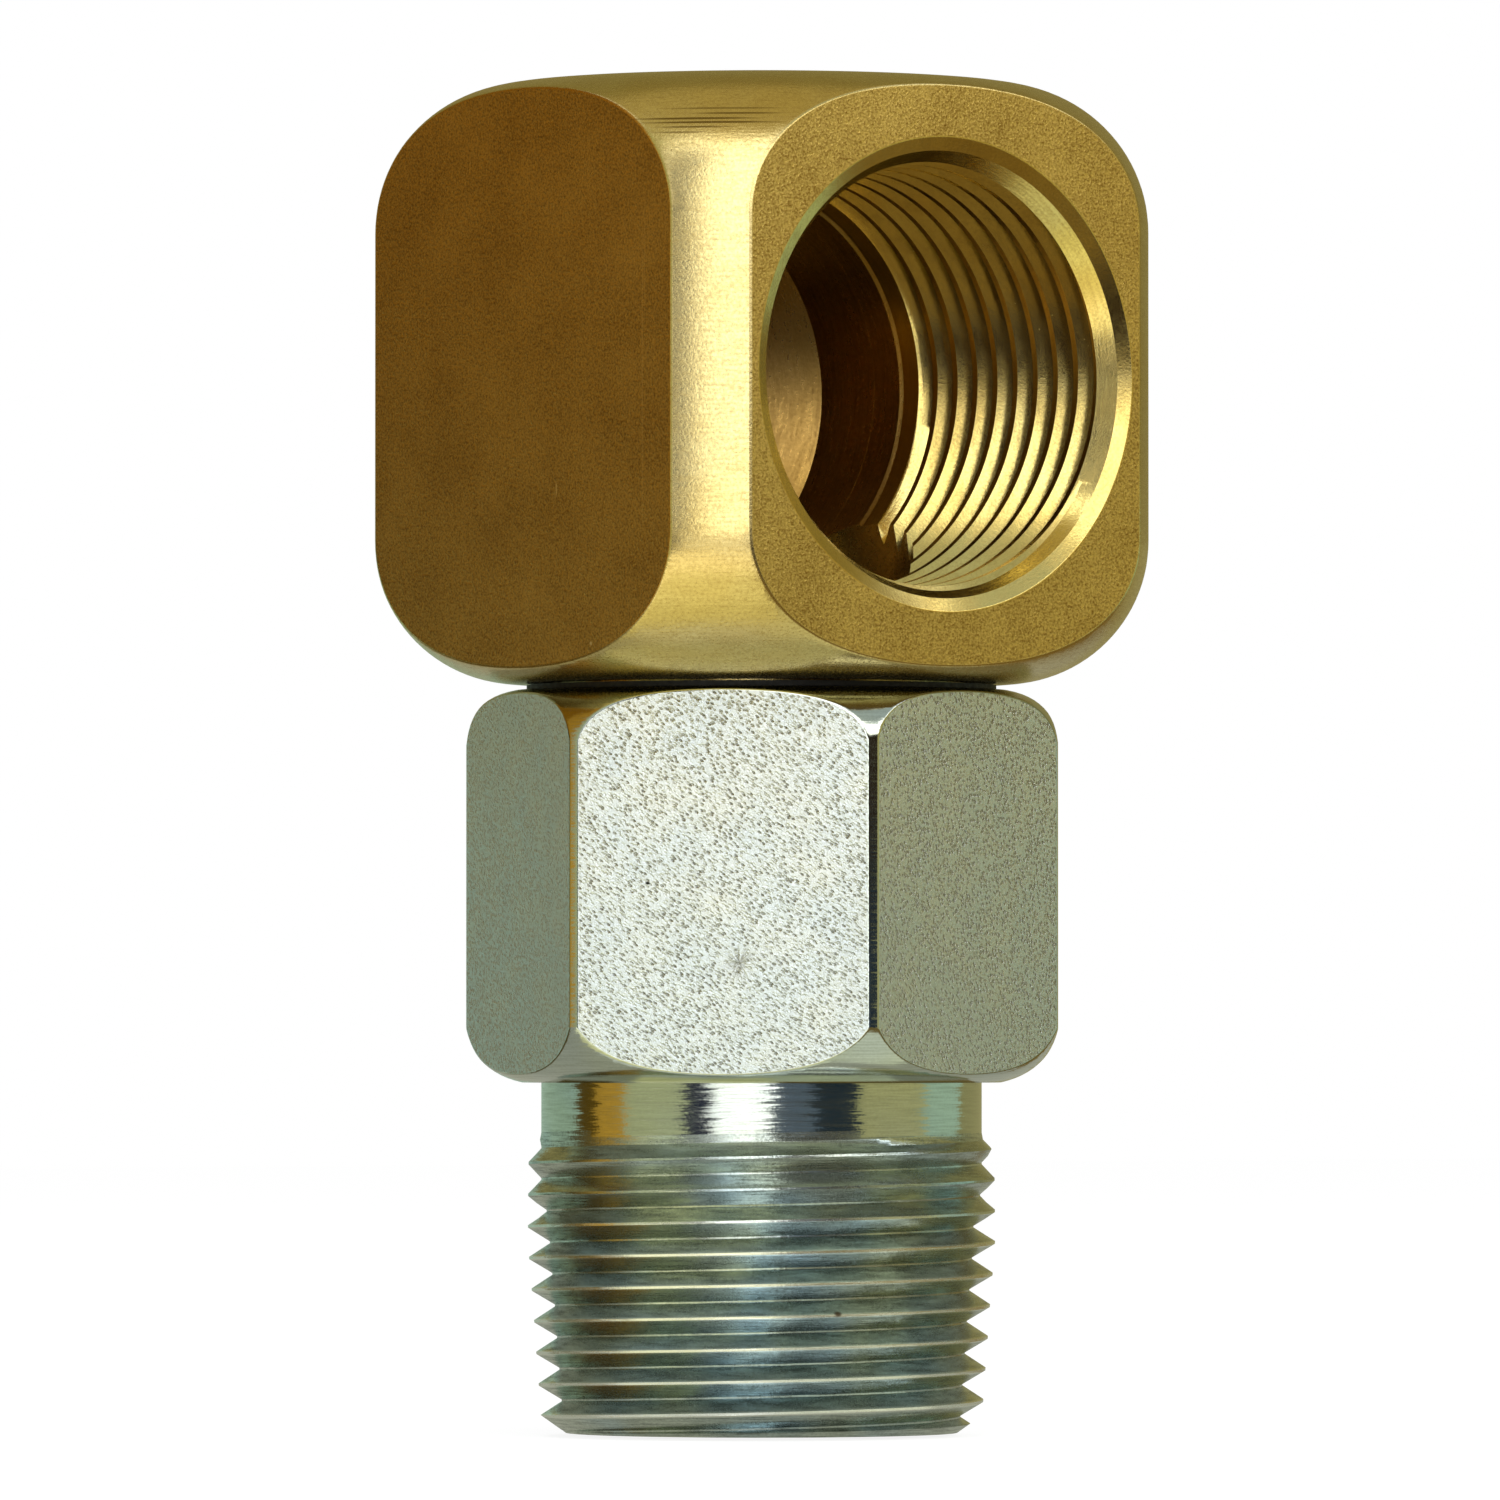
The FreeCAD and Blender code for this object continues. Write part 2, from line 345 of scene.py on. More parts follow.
def closeEnds(rod, middle):
    # each open end is drawn in to one point
    makeActive(rod)
    bpy.ops.object.mode_set(mode="EDIT")
    bpy.ops.mesh.select_mode(type="EDGE")
    for side in (-1, 1):
        bpy.ops.mesh.select_all(action="DESELECT")
        bpy.ops.mesh.select_non_manifold(extend=False)
        bpy.ops.object.mode_set(mode="OBJECT")
        for edge in rod.data.edges:
            height = rod.data.vertices[edge.vertices[0]].co.z / mm
            edge.select = edge.select and (height - middle) * side > 0
        bpy.ops.object.mode_set(mode="EDIT")
        bpy.ops.mesh.extrude_edges_move()
        bpy.ops.mesh.merge(type="CENTER")
    bpy.ops.mesh.select_all(action="SELECT")
    bpy.ops.mesh.normals_make_consistent(inside=False)
    bpy.ops.object.mode_set(mode="OBJECT")


def breakEdges(piece, width, isWanted):
    # sharp edges where isWanted says so are rounded; stubs about as short as the rounding are closed up first
    sharp = math.radians(14)
    shortest = 1.4 * width * mm
    makeActive(piece)
    bpy.ops.object.mode_set(mode="EDIT")
    bpy.ops.mesh.select_mode(type="EDGE")
    for closing in (True, False):
        bpy.ops.mesh.select_all(action="DESELECT")
        bpy.ops.mesh.edges_select_sharp(sharpness=sharp)
        bpy.ops.object.mode_set(mode="OBJECT")
        places = [vertex.co.copy() for vertex in piece.data.vertices]
        for edge in piece.data.edges:
            first, second = edge.vertices
            edge.select = edge.select and isWanted((places[first] + places[second]) / 2 / mm)
        if closing:
            outline = {vertex for edge in piece.data.edges if edge.select for vertex in edge.vertices}
            moved = set()
            # taken in order of place, because the boolean gives its edges in another order each time
            spots = [tuple(round(value / mm, 4) for value in place) for place in places]
            stubs = []
            for edge in piece.data.edges:
                keep, other = sorted(edge.vertices, key=lambda vertex: (vertex not in outline, spots[vertex]))
                if keep in outline and (places[keep] - places[other]).length < shortest:
                    stubs.append((spots[keep], spots[other], keep, other))
            for _, _, keep, other in sorted(stubs):
                if not {keep, other} & moved:
                    piece.data.vertices[other].co = places[keep]
                    moved |= {keep, other}
            print("closed stubs", len(moved) // 2)
        bpy.ops.object.mode_set(mode="EDIT")
        if closing:
            bpy.ops.mesh.select_all(action="SELECT")
            bpy.ops.mesh.remove_doubles(threshold=0.001 * mm)
    bpy.ops.mesh.bevel(offset=width * mm, offset_type="OFFSET", segments=3, affect="EDGES", clamp_overlap=False)
    bpy.ops.object.mode_set(mode="OBJECT")


def layAlongX(piece):
    # a cutter made about Z is laid over so that its +Z points out of the port
    makeActive(piece)
    piece.rotation_euler = (0, math.radians(90), 0)
    piece.location = (head["acrossFlats"] / 2 * mm, 0, portHeight * mm)
    bpy.ops.object.transform_apply(location=True, rotation=True, scale=True)


def smoothPiece(piece, angle):
    makeActive(piece)
    bpy.ops.object.shade_smooth_by_angle(angle=math.radians(angle))
    finishModifier(piece, "WEIGHTED_NORMAL", keep_sharp=True, weight=60)


def racePoints():
    # four-point ball groove, all from the pitch circle: where its sides would meet, its bottom, and half of
    # the bottom's height
    reach = spigot["raceReach"]
    apex = reach * math.sqrt(2)
    relief = reach + spigot["raceRelief"]
    return apex, relief, apex - relief


def portRadius(z, tooth):
    # z is minus the depth; the tap's crests cut the grooves, and its roots stay clear of the bore
    depth = -z
    bore = port["crestRadius"] - max(depth - port["mouth"][-1][1], 0) * port["taper"]
    groove = smoothStep(depth, *port["threadStart"]) * (1 - smoothStep(depth, *port["threadEnd"]))
    return bore - port["rootClear"] + (port["toothDepth"] + port["rootClear"]) * tooth * groove


def makeHead():
    half = head["acrossFlats"] / 2
    bottom = head["bottom"]
    top = bottom + head["height"]
    topFace = head["cornerRadius"] - head["topShoulder"]
    bottomFace = head["cornerRadius"] - head["bottomShoulder"]
    steps = head["arcSteps"]
    lowArc = arcPoints((bottomFace, bottom + head["bottomShoulder"]), head["bottomShoulder"], -90, 0, steps)
    highArc = arcPoints((topFace, top - head["topShoulder"]), head["topShoulder"], 0, 90, steps)
    piece = turnPiece("brassHead", [(0, bottom)] + lowArc + highArc + [(0, top)], head["turnSteps"])
    deselectAll()
    bpy.ops.mesh.primitive_cube_add(size=1, location=(0, 0, portHeight * mm))
    bar = bpy.context.object
    bar.scale = (2 * half * mm, 2 * half * mm, (head["height"] + 4) * mm)
    bpy.ops.object.transform_apply(location=True, rotation=True, scale=True)
    cutWith(piece, bar, "INTERSECT")
    print("head blank", len(piece.data.polygons))

    step = port["crestRadius"] - (port["depth"] - port["mouth"][-1][1]) * port["taper"]
    point = port["drillDepth"] + port["drillRadius"] / math.tan(math.radians(port["drillPoint"] / 2))
    mouth = turnPiece("portCutter", [(0, 2), (port["mouth"][0][0], 2)]
                      + [(radius, -depth) for radius, depth in port["mouth"]]
                      + [(step, -port["depth"]),
                         (port["drillRadius"], -port["depth"] - port["stepSlope"] * (step - port["drillRadius"])),
                         (port["drillRadius"], -port["drillDepth"]), (0, -point)], head["turnSteps"])
    layAlongX(mouth)
    cutWith(piece, mouth, "DIFFERENCE")
    print("port cut", len(piece.data.polygons))

    slope = 1 / math.tan(math.radians(spigot["passagePoint"] / 2))
    apex, relief, land = racePoints()
    inside = spigot["racePitchRadius"] - relief
    lip = apex - (spigot["racePitchRadius"] - spigot["radius"])
    race = spigot["raceHeight"]
    outline = [(0, spigot["end"]), (spigot["radius"] - spigot["chamfer"], spigot["end"]),
               (spigot["radius"], spigot["end"] + spigot["chamfer"]),
               (spigot["radius"], race - lip), (inside, race - land), (inside, race + land),
               (spigot["radius"], race + lip)]
    for low in spigot["sealLow"]:
        deep = spigot["radius"] - spigot["sealDepth"]
        outline += [(spigot["radius"], low), (deep, low), (deep, low + spigot["sealWidth"]),
                    (spigot["radius"], low + spigot["sealWidth"])]
    outline += [(spigot["radius"], bottom + spigot["intoHead"]), (0, bottom + spigot["intoHead"])]
    shaft = turnPiece("spigotShaft", outline, head["turnSteps"])
    cutWith(piece, shaft, "UNION")
    radius = spigot["passageRadius"]
    passage = turnPiece("passageCutter", [
        (0, spigot["end"] - 1), (radius, spigot["end"] - 1), (radius, portHeight), (0, portHeight + radius * slope)
    ], spigot["passageSteps"])
    cutWith(piece, passage, "DIFFERENCE")

    def onOutline(at):
        # the outlines of the flats, without the lathe's seam, the seat of the spigot and the port's mouth
        onFlat = min(abs(abs(at.x) - half), abs(abs(at.y) - half)) < flatGap
        onSeam = abs(at.y) <= flatGap and at.x >= 0
        outside = math.hypot(at.x, at.y, at.z - portHeight) > half + 0.1
        inMouth = at.x > half - flatGap and math.hypot(at.y, at.z - portHeight) < port["mouth"][0][0] + 0.3
        return at.z > bottom + 0.3 and onFlat and not onSeam and outside and not inMouth

    breakEdges(piece, head["edgeBreak"], onOutline)
    print("head edges broken", len(piece.data.polygons))

    settings = dict(port, crestAt=port["crestAt"] - half)
    tap = threadRod("portTap", settings, -port["depth"], 1.0, portRadius)
    layAlongX(tap)
    cutWith(piece, tap, "DIFFERENCE")
    smoothPiece(piece, head["smoothAngle"])
    print("head made", len(piece.data.polygons))
    return piece


def radiusFrom(points, z):
    # straight line between the two listed heights around z
    for (low, first), (high, second) in zip(points, points[1:]):
        if z <= high:
            break
    return first + (second - first) * min(max((z - low) / (high - low), 0), 1)


def nippleRadius(z, tooth):
    # roots rise and crests fall away where the die ran out below the hexagon; under the end face the tooth
    # dies away, in what the end trim takes off
    crest = radiusFrom(nipple["crestRadii"], z)
    root = crest - nipple["toothDepth"]
    root += (nipple["shankRadius"] - root) * smoothStep(z, *nipple["rootRise"])
    crest += (nipple["shankRadius"] - crest) * smoothStep(z, *nipple["crestFall"])
    inward = smoothStep(-z, 1.0, 2.0)
    return root + (crest - root) * tooth * (1 - inward)


def makeStem():
    bottom = hexagon["bottom"]
    top = hexagon["top"]
    deselectAll()
    bpy.ops.mesh.primitive_cylinder_add(
        vertices=6, radius=hexagon["acrossFlats"] / math.sqrt(3) * mm, depth=(top - bottom) * mm,
        location=(0, 0, (top + bottom) / 2 * mm), rotation=(0, 0, math.radians(hexagon["turn"])))
    piece = bpy.context.object
    piece.name = "steelStem"
    bpy.ops.object.transform_apply(location=True, rotation=True, scale=True)
    foot = (hexagon["bottomFaceRadius"], bottom)
    heel = (hexagon["cornerRadius"], bottom + hexagon["bottomRound"])
    brow = (hexagon["cornerRadius"], top - hexagon["topRound"])
    crown = (hexagon["topFaceRadius"], top)
    lowEnd = bulgedPoints(foot, heel, hexagon["bottomBulge"], hexagon["arcSteps"])
    highEnd = bulgedPoints(brow, crown, hexagon["topBulge"], hexagon["arcSteps"])
    lathe = turnPiece("hexLathe", [(0, bottom)] + lowEnd + highEnd + [(0, top)], hexagon["turnSteps"])
    cutWith(piece, lathe, "INTERSECT")
    print("hexagon blank", len(piece.data.polygons))

    # the thread starts below the end face, and the cone of the end chamfer runs on past the crests
    below = 3
    reach = 6
    rod = threadRod("pipeThread", nipple, -below, bottom + 1, nippleRadius)
    slope = nipple["chamferDepth"] / nipple["chamferHeight"]
    start = nipple["endRadius"] - nipple["chamferDepth"]
    trim = turnPiece("endTrim", [(0, 0), (start, 0), (start + reach * slope, reach),
                                 (start + reach * slope, bottom + 1), (0, bottom + 1)], hexagon["turnSteps"])
    cutWith(rod, trim, "INTERSECT")
    cutWith(piece, rod, "UNION")
    print("thread cut", len(piece.data.polygons))

    apex, relief, land = racePoints()
    bore = hexagon["boreRadius"]
    outside = spigot["racePitchRadius"] + relief
    lip = apex - (bore - spigot["racePitchRadius"])
    race = spigot["raceHeight"]
    radius = spigot["passageRadius"]
    chamfer = nipple["passageChamfer"]
    cavity = turnPiece("cavityCutter", [
        (0, -1), (radius + chamfer + 1, -1), (radius, chamfer), (radius, hexagon["floor"]),
        (bore, hexagon["floor"]), (bore, race - lip), (outside, race - land), (outside, race + land),
        (bore, race + lip), (bore, top - hexagon["mouthDepth"]),
        (hexagon["mouthRadius"], top - hexagon["mouthDepth"]), (hexagon["mouthRadius"], top + 1), (0, top + 1)
    ], hexagon["turnSteps"])
    cutWith(piece, cavity, "DIFFERENCE")
    hole = radialRod("plugHole", plug["radius"] + plug["clearance"], plug["holeInner"],
                     plug["outer"] + plug["clearance"])
    cutWith(piece, hole, "DIFFERENCE")
    print("stem bored", len(piece.data.polygons))
    breakEdges(piece, hexagon["edgeBreak"], lambda at: bottom + 0.02 < at.z < top - 0.02
               and math.hypot(at.x, at.y) > hexagon["acrossFlats"] / 2 - flatGap)
    smoothPiece(piece, hexagon["smoothAngle"])
    print("stem made", len(piece.data.polygons))
    return piece


def radialRod(name, radius, inner, outer):
    # lies across the axis, in the way that the balls go in
    deselectAll()
    middle = (inner + outer) / 2
    turn = math.radians(plug["turn"])
    bpy.ops.mesh.primitive_cylinder_add(
        vertices=48, radius=radius * mm, depth=(outer - inner) * mm,
        location=(middle * math.cos(turn) * mm, middle * math.sin(turn) * mm, plug["height"] * mm),
        rotation=(0, math.radians(90), turn))
    piece = bpy.context.object
    piece.name = name
    bpy.ops.object.transform_apply(location=True, rotation=True, scale=True)
    return piece


def makePlug():
    piece = radialRod("ballHolePlug", plug["radius"], plug["inner"], plug["outer"])
    finishModifier(piece, "BEVEL", width=0.08 * mm, segments=2, limit_method="ANGLE",
                   angle_limit=math.radians(40))
    smoothPiece(piece, plug["smoothAngle"])
    return piece


def addNode(tree, kind, place, settings=None, **links):
    # adds one shader node, sets its values, and joins the sockets named in links
    node = tree.nodes.new(kind)
    node.location = place
    for name, value in (settings or {}).items():
        if isinstance(name, str) and hasattr(node, name):
            setattr(node, name, value)
        else:
            node.inputs[name].default_value = value
    for name, source in links.items():
        target = node.inputs[int(name[1:])] if name[0] == "i" and name[1:].isdigit() else node.inputs[name]
        tree.links.new(source, target)
    return node


def emptyMaterial(name):
    material = bpy.data.materials.new(name)
    material.use_nodes = True
    tree = material.node_tree
    tree.nodes.clear()
    return material, tree, addNode(tree, "ShaderNodeOutputMaterial", (900, 0))


def startMaterial(name):
    material, tree, output = emptyMaterial(name)
    surface = addNode(tree, "ShaderNodeBsdfPrincipled", (600, 0))
    tree.links.new(surface.outputs[0], output.inputs[0])
    return material, tree, surface


def finishSurface(tree, surface, colour, gloss, roughness, height, strength, depth, metallic=1.0):
    # gloss is the pattern that the roughness follows; the depth of the bump is in millimetres
    tree.links.new(colour.outputs[2], surface.inputs["Base Color"])
    low, high = roughness
    rough = addNode(tree, "ShaderNodeMapRange", (300, -200), {1: 0.3, 2: 0.7, 3: low, 4: high},
                    i0=gloss.outputs[0])
    tree.links.new(rough.outputs[0], surface.inputs["Roughness"])
    bump = addNode(tree, "ShaderNodeBump", (300, -400), {"Strength": strength, "Distance": depth * mm},
                   Height=height.outputs[0])
    tree.links.new(bump.outputs[0], surface.inputs["Normal"])
    surface.inputs["Metallic"].default_value = metallic
    return bump


# machined brass, CuZn39Pb3: free-cutting, so that its turned faces are bright and its milled ones satin
brassLook = {
    "metal": "d8bd70",
    "deep": "86682a",
    "flatGrain": 0.145,
    "flatRoughness": (0.26, 0.42),
    "flatDepth": 0.05,
}

# steel, zinc plated and clear passivated: grey with a trace of blue and straw
zincLook = {
    "metal": "dadfdd",
    "metalShare": 0.66,
    "blue": "b8c8d0",
    "straw": "d4d4c4",
    # this darker grey is painted into the pits as painted shade, and is also the colour of the plug's star
    "pitShadeAndStar": "9c9f9c",
    "tintPlace": (-0.56, 0.016),
    "dashLength": 0.28,
    "dashWidth": 0.15,
    "dashTurn": 36.0,
    "starPlace": (-0.94, 26.9, -10.47),
    "starReach": 1.15,
    "starShare": 0.6,
    "flatRoughness": (0.26, 0.4),
    "flatDepth": 0.048,
}

# faces cut on a lathe; pitch is the spacing of the tool's lines in millimetres, drawn about twice the real
# one so that it shows, and facing says how far the lines follow the radius as well as the length
latheFinishes = {
    "turnedBrass": {"first": "dcc88a", "second": "d6be7a", "deep": "9c7e3c", "lineShare": 0.55, "wander": 0.0,
                    "turn": (0, 0, 0), "shift": (0, 0, -portHeight), "facing": -1.0, "around": 14.0, "pitch": 0.17,
                    "grain": 0.17, "grainShare": 0.6, "roughness": (0.18, 0.32), "depth": 0.03},
    "boredBrass": {"first": "deca80", "second": "d8be70", "deep": "947836", "lineShare": 0.5, "wander": 0.0,
                   "turn": (0, math.radians(-90), 0), "shift": (portHeight, 0, 0), "facing": -0.4, "around": 6.0,
                   "pitch": 0.12, "grain": 0.15, "grainShare": 0.5, "roughness": (0.12, 0.28), "depth": 0.02},
    # the drilled end of the port: rougher, as drilled, and its darker brass is painted shade deep in the port
    "shadedDrilledBrass": {"first": "b49252", "second": "a88644", "deep": "785a2a", "lineShare": 0.6, "wander": 0.0,
                     "turn": (0, math.radians(-90), 0), "shift": (portHeight, 0, 0), "facing": -0.4, "around": 5.0,
                     "pitch": 0.2, "grain": 0.2, "grainShare": 0.4, "roughness": (0.24, 0.36), "depth": 0.03},
    "platedTurned": {"first": "cad0c2", "second": "c4ccca", "deep": "868b7a", "lineShare": 0.45, "wander": 0.16,
                     "turn": (0, 0, 0), "shift": (0, 0, 0), "facing": 0.31, "around": 4.0, "pitch": 0.13,
                     "grain": 0.16, "grainShare": 0.25, "roughness": (0.08, 0.18), "depth": 0.012},
    "platedThread": {"first": "c6cec4", "second": "b8c8cc", "deep": "5a625c", "lineShare": 0.85, "wander": 0.24,
                     "turn": (0, 0, 0), "shift": (0, 0, 0), "facing": 0.31, "around": 5.0, "pitch": 0.13,
                     "grain": 0.16, "grainShare": 0.3, "roughness": (0.16, 0.32), "depth": 0.025,
                     # the near-white colour here is a painted highlight along the thread's crests
                     "crestHighlight": "f2f4ee", "crestHighlightRadius": (12.58, 0.074)},
}

# marks left by the tool or by use, piece by piece: centre and reach in millimetres, colour, strength
brassMarks = [
    ((11.4, -17.25, 60.0), (0.07, 0.4, 11.0), "e8cf8c", 0.35),
    ((11.6, -17.25, 66.0), (0.04, 0.4, 5.0), "e8cf8c", 0.3),
    ((17.25, 3.72, 74.1), (0.4, 0.05, 0.8), "7c5c1c", 0.7),
    ((17.25, 3.95, 74.4), (0.4, 0.05, 0.6), "7c5c1c", 0.6),
    ((3.35, -17.25, 53.7), (0.09, 0.4, 0.5), "efdca0", 0.7),
    ((6.6, -17.25, 44.9), (0.14, 0.4, 0.14), "f6ecc4", 0.9),
    ((14.6, -14.0, 74.9), (4.0, 4.0, 0.07), "6e5624", 0.6),
    ((14.9, -13.2, 74.6), (3.0, 3.0, 0.07), "6e5624", 0.8),
    ((13.4, -15.0, 74.3), (4.4, 4.4, 0.08), "6e5624", 0.9),
    ((14.0, -14.4, 74.07), (4.8, 4.8, 0.08), "6e5624", 0.9),
    ((13.6, -15.2, 73.8), (2.6, 2.6, 0.07), "6e5624", 0.8),
    ((13.2, -15.8, 73.5), (1.9, 1.9, 0.06), "6e5624", 0.7),
]
zincMarks = [
    ((7.33, -13.78, 31.4), (0.17, 0.17, 0.12), "26261e", 1.0),
    ((12.43, -4.11, 7.1), (0.3, 0.3, 0.28), "5a3c1c", 0.9),
    ((12.05, 4.6, 3.8), (0.3, 0.3, 0.12), "403828", 0.8),
    ((13.24, 1.16, 14.0), (0.12, 0.12, 0.1), "26261e", 0.9),
]


def flatPlace(tree):
    # millimetres across and up each flat, and a third number that differs from flat to flat
    place = addNode(tree, "ShaderNodeTexCoord", (-2000, 0))
    inMm = addNode(tree, "ShaderNodeVectorMath", (-1800, 100), {"operation": "SCALE", "Scale": 1000.0},
                   i0=place.outputs["Object"])
    across = addNode(tree, "ShaderNodeVectorMath", (-1800, -100), {"operation": "CROSS_PRODUCT", 1: (0, 0, 1)},
                     i0=place.outputs["Normal"])
    side = addNode(tree, "ShaderNodeVectorMath", (-1600, 0), {"operation": "DOT_PRODUCT"},
                   i0=inMm.outputs[0], i1=across.outputs[0])
    which = addNode(tree, "ShaderNodeVectorMath", (-1600, -200), {"operation": "DOT_PRODUCT", 1: (17, 31, 0)},
                    i0=place.outputs["Normal"])
    parts = addNode(tree, "ShaderNodeSeparateXYZ", (-1600, 200), None, i0=inMm.outputs[0])
    whole = addNode(tree, "ShaderNodeCombineXYZ", (-1400, 0), None,
                    i0=side.outputs["Value"], i1=parts.outputs[2], i2=which.outputs["Value"])
    return inMm, whole


def lathePlace(tree, lathe):
    # stretched round the lathe's axis, so that noise read from it is tool marks that run round the piece
    place = addNode(tree, "ShaderNodeTexCoord", (-2000, 0))
    centred = addNode(tree, "ShaderNodeMapping", (-1800, 0),
                      {"Scale": (1000, 1000, 1000), "Rotation": lathe["turn"], "Location": lathe["shift"]},
                      i0=place.outputs["Object"])
    outward = addNode(tree, "ShaderNodeVectorMath", (-1600, 100), {"operation": "MULTIPLY", 1: (1, 1, 0)},
                      i0=centred.outputs[0])
    radius = addNode(tree, "ShaderNodeVectorMath", (-1400, 0), {"operation": "LENGTH"}, i0=outward.outputs[0])
    facing = addNode(tree, "ShaderNodeVectorMath", (-1400, 200), {"operation": "NORMALIZE"},
                     i0=outward.outputs[0])
    around = addNode(tree, "ShaderNodeVectorMath", (-1200, 200),
                     {"operation": "SCALE", "Scale": lathe["around"]}, i0=facing.outputs[0])
    parts = addNode(tree, "ShaderNodeSeparateXYZ", (-1600, -200), None, i0=centred.outputs[0])
    along = addNode(tree, "ShaderNodeMath", (-1400, -200), {"operation": "ABSOLUTE"}, i0=parts.outputs[2])
    track = addNode(tree, "ShaderNodeMath", (-1200, -100), {"operation": "MULTIPLY_ADD", 1: lathe["facing"]},
                    i0=radius.outputs["Value"], i2=along.outputs[0])
    lines = addNode(tree, "ShaderNodeMath", (-1000, -100), {"operation": "DIVIDE", 1: lathe["pitch"]},
                    i0=track.outputs[0])
    upright = addNode(tree, "ShaderNodeCombineXYZ", (-800, -100), None, i2=lines.outputs[0])
    whole = addNode(tree, "ShaderNodeVectorMath", (-600, 100), {"operation": "ADD"},
                    i0=around.outputs[0], i1=upright.outputs[0])
    inMm = addNode(tree, "ShaderNodeVectorMath", (-1800, 300), {"operation": "SCALE", "Scale": 1000.0},
                   i0=place.outputs["Object"])
    return inMm, whole, radius, along


def addMarks(tree, inMm, colour, marks):
    # each mark is a small ellipsoid in the piece's own millimetres, in which the colour changes
    for index, (centre, reach, tint, strength) in enumerate(marks):
        high = 600 + 220 * index
        away = addNode(tree, "ShaderNodeVectorMath", (-900, high), {"operation": "SUBTRACT", 1: centre},
                       i0=inMm.outputs[0])
        scaled = addNode(tree, "ShaderNodeVectorMath", (-700, high), {"operation": "DIVIDE", 1: reach},
                         i0=away.outputs[0])
        far = addNode(tree, "ShaderNodeVectorMath", (-500, high), {"operation": "LENGTH"}, i0=scaled.outputs[0])
        mask = addNode(tree, "ShaderNodeMapRange", (-300, high), {1: 1.0, 2: 0.5, 3: 0.0, 4: strength},
                       i0=far.outputs["Value"])
        colour = addNode(tree, "ShaderNodeMix", (-100, high), {"data_type": "RGBA", 7: linearColour(tint)},
                         i0=mask.outputs[0], i6=colour.outputs[2])
    return colour


def makeMilledBrass():
    # milled flats: a satin, fine-grained face with no lay that shows
    material, tree, surface = startMaterial("milledBrass")
    inMm, place = flatPlace(tree)
    grain = addNode(tree, "ShaderNodeTexNoise", (-1100, 0),
                    {"Scale": 1 / brassLook["flatGrain"], "Detail": 3.0, "Roughness": 0.65}, i0=place.outputs[0])
    cloud = addNode(tree, "ShaderNodeTexNoise", (-1100, -300), {"Scale": 0.22, "Detail": 2.0}, i0=place.outputs[0])
    worn = addNode(tree, "ShaderNodeMath", (-900, -100), {"operation": "MULTIPLY_ADD", 1: 0.16},
                   i0=cloud.outputs[0], i2=grain.outputs[0])
    share = addNode(tree, "ShaderNodeMapRange", (-700, -100), {1: 0.44, 2: 0.76, 3: 0.0, 4: 1.0},
                    i0=worn.outputs[0])
    colour = addNode(tree, "ShaderNodeMix", (-500, 100),
                     {"data_type": "RGBA", 6: linearColour(brassLook["metal"]), 7: linearColour(brassLook["deep"])},
                     i0=share.outputs[0])
    colour = addMarks(tree, inMm, colour, brassMarks)
    finishSurface(tree, surface, colour, grain, brassLook["flatRoughness"], grain, 0.6, brassLook["flatDepth"])
    return material


